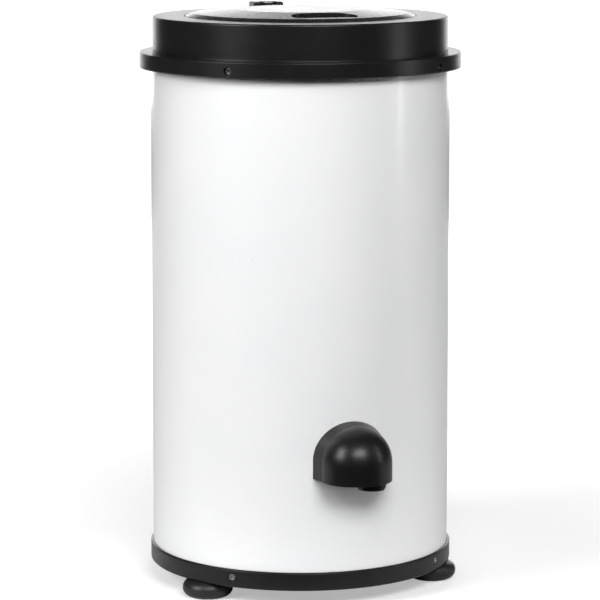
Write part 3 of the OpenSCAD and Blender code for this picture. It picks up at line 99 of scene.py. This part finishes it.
# ---------- finishes ----------
def finish(name, low, high, rough, metal=0.0, grain=40.0, bump=0.0, bump_scale=400.0, edge=0.0, coat=0.0,
           shine=0.5, stretch=(1.0, 1.0, 1.0)):
    """A surface whose colour wanders between low and high, and its roughness between the two in rough.

    grain and bump_scale are cells per metre, and stretch turns the cells into strokes. edge is the
    radius in metres to which the light sees sharp edges rounded, and shine the level of reflection.
    """
    mat = bpy.data.materials.new(name)
    mat.use_nodes = True
    tree = mat.node_tree
    tree.nodes.clear()
    link = tree.links.new
    out = add_node(tree, "ShaderNodeOutputMaterial")
    shader = add_node(tree, "ShaderNodeBsdfPrincipled", {
        "Metallic": metal,
        "Specular IOR Level": shine,
        "Coat Weight": coat,
        "Coat Roughness": COAT_ROUGH,
    })
    link(shader.outputs["BSDF"], out.inputs["Surface"])

    place = add_node(tree, "ShaderNodeTexCoord")
    scale = add_node(tree, "ShaderNodeMapping", {"Scale": stretch})
    link(place.outputs["Object"], scale.inputs["Vector"])

    wander = add_node(tree, "ShaderNodeTexNoise", {"Scale": grain, "Detail": WANDER_DETAIL})
    link(scale.outputs["Vector"], wander.inputs["Vector"])
    ramp = add_node(tree, "ShaderNodeValToRGB")
    for stop, position, colour in zip(ramp.color_ramp.elements, (WANDER_FROM, WANDER_TO), (low, high)):
        stop.position = position
        stop.color = colour
    link(wander.outputs["Fac"], ramp.inputs["Fac"])
    link(ramp.outputs["Color"], shader.inputs["Base Color"])

    spread = add_node(tree, "ShaderNodeMapRange", {
        "From Min": WANDER_FROM,
        "From Max": WANDER_TO,
        "To Min": rough[0],
        "To Max": rough[1],
    })
    link(wander.outputs["Fac"], spread.inputs["Value"])
    link(spread.outputs["Result"], shader.inputs["Roughness"])

    normal = None
    if edge:
        rounded = add_node(tree, "ShaderNodeBevel", {"Radius": edge})
        rounded.samples = EDGE_SAMPLES
        normal = rounded.outputs["Normal"]
    if bump:
        fine = add_node(tree, "ShaderNodeTexNoise", {"Scale": bump_scale, "Detail": RELIEF_DETAIL})
        link(scale.outputs["Vector"], fine.inputs["Vector"])
        relief = add_node(tree, "ShaderNodeBump", {"Strength": bump, "Distance": RELIEF_DEPTH})
        link(fine.outputs["Fac"], relief.inputs["Height"])
        if normal:
            link(normal, relief.inputs["Normal"])
        normal = relief.outputs["Normal"]
    if normal:
        link(normal, shader.inputs["Normal"])
    return mat


LOOKS = {
    # shells and mouldings
    "white_enamel": dict(low=tone(242, 243, 244), high=tone(248), rough=(0.26, 0.32),
                         grain=12, bump=0.05, bump_scale=260, edge=0.0006, coat=0.25),
    "black_moulding": dict(low=tone(17), high=tone(22, 22, 23), rough=(0.30, 0.36),
                           grain=60, bump=0.10, bump_scale=1500, edge=0.0012, shine=0.35),
    "lid_moulding": dict(low=tone(18), high=tone(23, 23, 24), rough=(0.25, 0.30),
                         grain=50, bump=0.05, bump_scale=1500, edge=0.0012),
    "inner_moulding": dict(low=tone(54, 55, 58), high=tone(62, 63, 66), rough=(0.45, 0.55),
                           grain=60, bump=0.15, bump_scale=1200, edge=0.0006),
    "pale_moulding": dict(low=tone(216, 218, 214), high=tone(226, 227, 223), rough=(0.42, 0.5),
                          grain=50, bump=0.1, edge=0.0006),
    "white_pin": dict(low=tone(228, 228, 224), high=tone(236, 236, 232), rough=(0.38, 0.46), grain=80),
    # rubber and lining
    "black_rubber": dict(low=tone(22), high=tone(30), rough=(0.38, 0.5), grain=90, bump=0.2, edge=0.001),
    "grey_rubber": dict(low=tone(82, 83, 85), high=tone(96, 97, 99), rough=(0.6, 0.7),
                        grain=90, bump=0.2, edge=0.0006),
    "brake_lining": dict(low=tone(112, 94, 78), high=tone(138, 118, 100), rough=(0.75, 0.88),
                         grain=700, bump=0.5, bump_scale=1100),
    # metal
    "stainless": dict(low=tone(206, 208, 210), high=tone(222, 223, 225), rough=(0.18, 0.28), metal=1.0,
                      grain=30, bump=0.08, edge=0.0005, stretch=(1, 1, 14)),
    "zinc_steel": dict(low=tone(176, 179, 184), high=tone(204, 206, 208), rough=(0.28, 0.42), metal=1.0,
                       grain=160, edge=0.0003),
    "sheet_steel": dict(low=tone(158, 162, 166), high=tone(186, 189, 192), rough=(0.36, 0.52), metal=1.0,
                        grain=34, edge=0.0004),
    "blackened_steel": dict(low=tone(116), high=tone(136), rough=(0.20, 0.28), metal=1.0,
                            grain=300, edge=0.0004),
    "spring_steel": dict(low=tone(120, 122, 126), high=tone(150, 152, 155), rough=(0.26, 0.36), metal=1.0,
                         grain=120),
    "cast_aluminium": dict(low=tone(182, 184, 186), high=tone(204, 205, 206), rough=(0.42, 0.56), metal=1.0,
                           grain=120, bump=0.4, bump_scale=700, edge=0.0008),
    "dark_iron": dict(low=tone(92, 92, 95), high=tone(118, 118, 120), rough=(0.45, 0.6), metal=0.8,
                      grain=220, bump=0.2, bump_scale=900),
    "copper_wire": dict(low=tone(168, 86, 48), high=tone(206, 120, 74), rough=(0.25, 0.38), metal=1.0,
                        grain=900, bump=0.6, bump_scale=700, stretch=(1, 1, 0.2)),
    "capacitor_case": dict(low=tone(200, 202, 204), high=tone(216, 217, 218), rough=(0.24, 0.34), metal=1.0,
                           grain=20, stretch=(1, 1, 12)),
}
FINISHES = {name: finish(name, **look) for name, look in LOOKS.items()}

for part in frame["record"]["subparts"]:
    obj = nodes[part["node"]]
    obj.data.materials.clear()
    obj.data.materials.append(FINISHES[part["material_slot"]])


# ---------- floor and backdrop ----------
def lifted_paper():
    """Pale paper that the camera alone sees lifted to white, more so with the distance from the object."""
    paper = finish("floor_paper", low=tone(222), high=tone(225), rough=(0.8, 0.9), grain=3)
    tree = paper.node_tree
    link = tree.links.new
    shader = next(n for n in tree.nodes if n.type == "BSDF_PRINCIPLED")
    shader.inputs["Emission Color"].default_value = WHITE

    place = add_node(tree, "ShaderNodeTexCoord")
    scale = add_node(tree, "ShaderNodeMapping", {"Scale": (1 / LIFT_REACH,) * 3})
    nearness = add_node(tree, "ShaderNodeTexGradient")
    nearness.gradient_type = "SPHERICAL"
    lift = add_node(tree, "ShaderNodeMapRange", {
        "From Max": LIFT_CORE,
        "To Min": LIFT_FAR,
        "To Max": LIFT_NEAR,
    })
    link(place.outputs["Object"], scale.inputs["Vector"])
    link(scale.outputs["Vector"], nearness.inputs["Vector"])
    link(nearness.outputs["Fac"], lift.inputs["Value"])

    seen = add_node(tree, "ShaderNodeLightPath")
    only_seen = add_node(tree, "ShaderNodeMapRange")
    link(seen.outputs["Is Camera Ray"], only_seen.inputs["Value"])
    link(lift.outputs["Result"], only_seen.inputs["To Max"])
    link(only_seen.outputs["Result"], shader.inputs["Emission Strength"])
    return paper


def sweep_profile():
    """The sheet from the side, as places behind the axis and heights: flat, a quarter round, upright."""
    flat_end = BACKDROP_Y - BACKDROP_R
    profile = [(FLOOR_FRONT, 0.0), (flat_end, 0.0)]
    for i in range(1, BACKDROP_STEPS + 1):
        a = i / BACKDROP_STEPS * math.pi / 2
        profile.append((flat_end + BACKDROP_R * math.sin(a), BACKDROP_R * (1 - math.cos(a))))
    profile.append((BACKDROP_Y, BACKDROP_TOP))
    return profile


def sweep():
    """The floor and backdrop in one curved sheet, turned to face the camera."""
    cos, sin = math.cos(VIEW_AZIMUTH), math.sin(VIEW_AZIMUTH)
    profile = sweep_profile()
    verts = []
    for x in (-FLOOR_HALF, FLOOR_HALF):
        for y, z in profile:
            verts.append((x * cos - y * sin, x * sin + y * cos, z))
    n = len(profile)
    mesh = bpy.data.meshes.new("floor")
    mesh.from_pydata(verts, [], [(i, i + n, i + n + 1, i + 1) for i in range(n - 1)])
    mesh.update()
    mesh.shade_smooth()
    mesh.materials.append(lifted_paper())
    return add_object("floor", mesh)


floor = sweep()


# ---------- lamps and world ----------
def softbox(name, azimuth, elevation, distance, width, height, power):
    """An area lamp aimed at the object, with its azimuth in degrees from the camera's own."""
    a = VIEW_AZIMUTH + math.radians(azimuth)
    e = math.radians(elevation)
    back = Vector((math.sin(a) * math.cos(e), -math.cos(a) * math.cos(e), math.sin(e)))
    lamp = bpy.data.lights.new(name, "AREA")
    lamp.shape = "RECTANGLE"
    lamp.size = width
    lamp.size_y = height
    lamp.energy = power
    obj = add_object(name, lamp)
    obj.location = LAMP_AIM + back * distance
    obj.rotation_euler = back.to_track_quat("Z", "Y").to_euler()


softbox("key", azimuth=-54, elevation=26, distance=2.8, width=1.0, height=1.4, power=51)
softbox("front", azimuth=14, elevation=34, distance=3.0, width=1.8, height=1.0, power=67)
softbox("strip", azimuth=80, elevation=16, distance=2.8, width=0.26, height=1.9, power=12)
softbox("behind", azimuth=180, elevation=8, distance=2.9, width=3.4, height=1.0, power=34)


def studio_world():
    """A world that the camera sees white, and that lights the object weakly, more from above."""
    world = bpy.data.worlds.new("studio")
    world.use_nodes = True
    tree = world.node_tree
    tree.nodes.clear()
    link = tree.links.new

    direction = add_node(tree, "ShaderNodeTexCoord")
    upward = add_node(tree, "ShaderNodeSeparateXYZ")
    gradient = add_node(tree, "ShaderNodeMapRange", {
        "From Min": SKY_FROM,
        "From Max": SKY_TO,
        "To Min": SKY_LOW,
        "To Max": SKY_HIGH,
    })
    light = add_node(tree, "ShaderNodeBackground", {"Color": WHITE})
    link(direction.outputs["Generated"], upward.inputs["Vector"])
    link(upward.outputs["Z"], gradient.inputs["Value"])
    link(gradient.outputs["Result"], light.inputs["Strength"])

    seen = add_node(tree, "ShaderNodeBackground", {"Color": WHITE, "Strength": SKY_SEEN})
    rays = add_node(tree, "ShaderNodeLightPath")
    mix = add_node(tree, "ShaderNodeMixShader")
    out = add_node(tree, "ShaderNodeOutputWorld")
    link(rays.outputs["Is Camera Ray"], mix.inputs["Fac"])
    link(light.outputs["Background"], mix.inputs[1])
    link(seen.outputs["Background"], mix.inputs[2])
    link(mix.outputs["Shader"], out.inputs["Surface"])
    return world


scene = bpy.context.scene
scene.world = studio_world()
scene.view_settings.view_transform = "Standard"


# ---------- camera ----------
def photo_camera():
    """The camera where the photograph's stood."""
    view = bpy.data.cameras.new("camera")
    view.lens = LENS
    view.sensor_width = SENSOR
    view.shift_x, view.shift_y = SHIFT
    view.clip_start = CLIP_NEAR
    view.clip_end = CLIP_FAR
    camera = add_object("camera", view)
    x = math.sin(VIEW_AZIMUTH) * VIEW_DISTANCE
    y = -math.cos(VIEW_AZIMUTH) * VIEW_DISTANCE
    camera.location = (x, y, VIEW_HEIGHT)
    camera.rotation_euler = (math.pi / 2 - VIEW_TILT, 0.0, VIEW_AZIMUTH)
    return camera


scene.camera = photo_camera()
